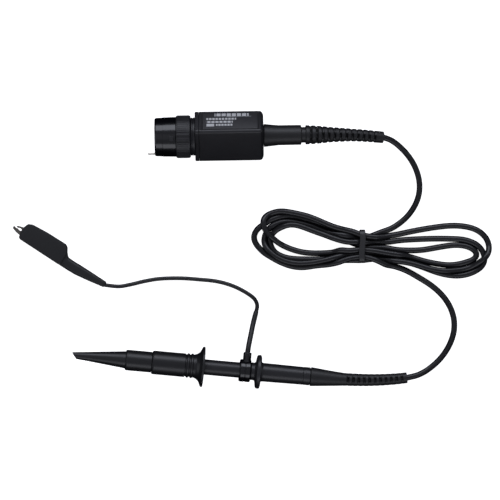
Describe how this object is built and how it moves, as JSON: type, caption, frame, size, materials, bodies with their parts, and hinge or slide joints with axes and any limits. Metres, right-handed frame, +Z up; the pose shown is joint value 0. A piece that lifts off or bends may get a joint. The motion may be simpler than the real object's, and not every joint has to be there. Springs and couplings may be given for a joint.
{
  "type": "oscilloscope probe",
  "caption": "Passive oscilloscope probe with a sprung hook tip, a ground lead with an alligator clip, a tied hank of cable and a compensation box with a bayonet connector.",
  "frame": {"origin": "on the ground, under the middle of the box round the object without its cords", "axes": "+X along the probe, from the hook tip and the clip towards the cable hank; +Y from the probe head towards the compensation box; +Z up"},
  "size_m": [0.289, 0.1663, 0.0296],
  "materials": {
    "black_plastic": "satin, fine moulded texture",
    "gloss_plastic": "glossy",
    "hook_plastic": "satin",
    "soft_pvc": "soft matt PVC",
    "cable_pvc": "satin PVC jacket",
    "tie_pvc": "coated tie",
    "nickel": "nickel plate",
    "gold_contact": "gold plate",
    "spring_steel": "bright wire",
    "insulator_white": "white fluoropolymer",
    "circuit_board": "green solder mask",
    "ceramic": "fired ceramic",
    "label_film": "printed film",
    "rubber_seal": "soft black rubber"
  },
  "bodies": {
    "probe": {"bnc_contact_shell": "nickel", "bnc_insulator": "insulator_white", "bnc_center_pin": "gold_contact", "bnc_gasket": "rubber_seal", "wave_washer": "spring_steel", "collar_sleeve": "gloss_plastic", "readout_spring": "spring_steel", "connector_neck": "black_plastic", "box_front_plate": "black_plastic", "box_shell": "black_plastic", "rating_label": "label_film", "comp_board": "circuit_board", "trimmer_body": "ceramic", "box_boot": "soft_pvc", "probe_tip": "nickel", "tip_insulator": "insulator_white", "ground_barrel": "nickel", "attenuator_rod": "ceramic", "probe_shaft": "black_plastic", "handle_shell": "black_plastic", "cable_ferrule": "nickel", "head_marker_ring": "black_plastic", "head_boot": "soft_pvc", "cable_upper": "cable_pvc", "cable_hank": "cable_pvc", "cable_lower": "cable_pvc", "hank_tie": "tie_pvc"},
    "lock_collar": {"bayonet_ring": "nickel", "collar_grip_ring": "black_plastic"},
    "readout_plunger": {"readout_pin": "gold_contact"},
    "trimmer": {"trimmer_screw": "gold_contact"},
    "tip_carrier": {"hook_carrier": "hook_plastic", "hook_wire": "nickel", "hook_spring": "spring_steel"},
    "tip_sleeve": {"nose_cone": "hook_plastic", "mid_collar": "hook_plastic", "hook_sleeve": "hook_plastic"},
    "ground_lead": {"ground_ring": "gloss_plastic", "lead_sleeve": "soft_pvc", "lead_wire": "cable_pvc", "clip_lower_jaw": "nickel", "clip_pivot_pin": "nickel", "clip_spring": "spring_steel", "clip_tail_boot": "soft_pvc"},
    "clip_lever": {"clip_upper_jaw": "nickel", "clip_hood": "soft_pvc"}
  },
  "joints": [
    {"name": "lock_collar_turn", "type": "hinge", "parent": "probe", "child": "lock_collar", "pos_m": [-0.03275, 0.06805, 0.01485], "axis": [0.9999, 0.0157, 0], "range_deg": [0, 85]},
    {"name": "readout_pin_press", "type": "slide", "parent": "probe", "child": "readout_plunger", "axis": [0.9999, 0.0157, 0], "range_m": [0, 0.0025], "stiffness_N_per_m": 300, "springref_m": -0.0015, "deforming": ["readout_spring"]},
    {"name": "trimmer_turn", "type": "hinge", "parent": "probe", "child": "trimmer", "pos_m": [0.00519, 0.07212, 0.01845], "axis": [-0.0113, 0.7193, -0.6947], "continuous": true},
    {"name": "hook_tip_pull_off", "type": "slide", "parent": "probe", "child": "tip_carrier", "axis": [-0.9942, 0.0908, 0.0577], "range_m": [0, 0.028]},
    {"name": "hook_sleeve_retract", "type": "slide", "parent": "tip_carrier", "child": "tip_sleeve", "axis": [0.9942, -0.0908, -0.0577], "range_m": [0, 0.008], "stiffness_N_per_m": 250, "springref_m": -0.004, "deforming": ["hook_spring"]},
    {"name": "ground_ring_swivel", "type": "hinge", "parent": "probe", "child": "ground_lead", "pos_m": [-0.08075, -0.06242, 0.0166], "axis": [0.9942, -0.0908, -0.0577], "range_deg": [0, 90]},
    {"name": "clip_jaw_open", "type": "hinge", "parent": "ground_lead", "child": "clip_lever", "pos_m": [-0.10176, 0.00499, 0.0045], "axis": [0, 0, -1], "range_deg": [0, 16], "stiffness_Nm_per_rad": 0.15, "springref_deg": -17.19}
  ]
}
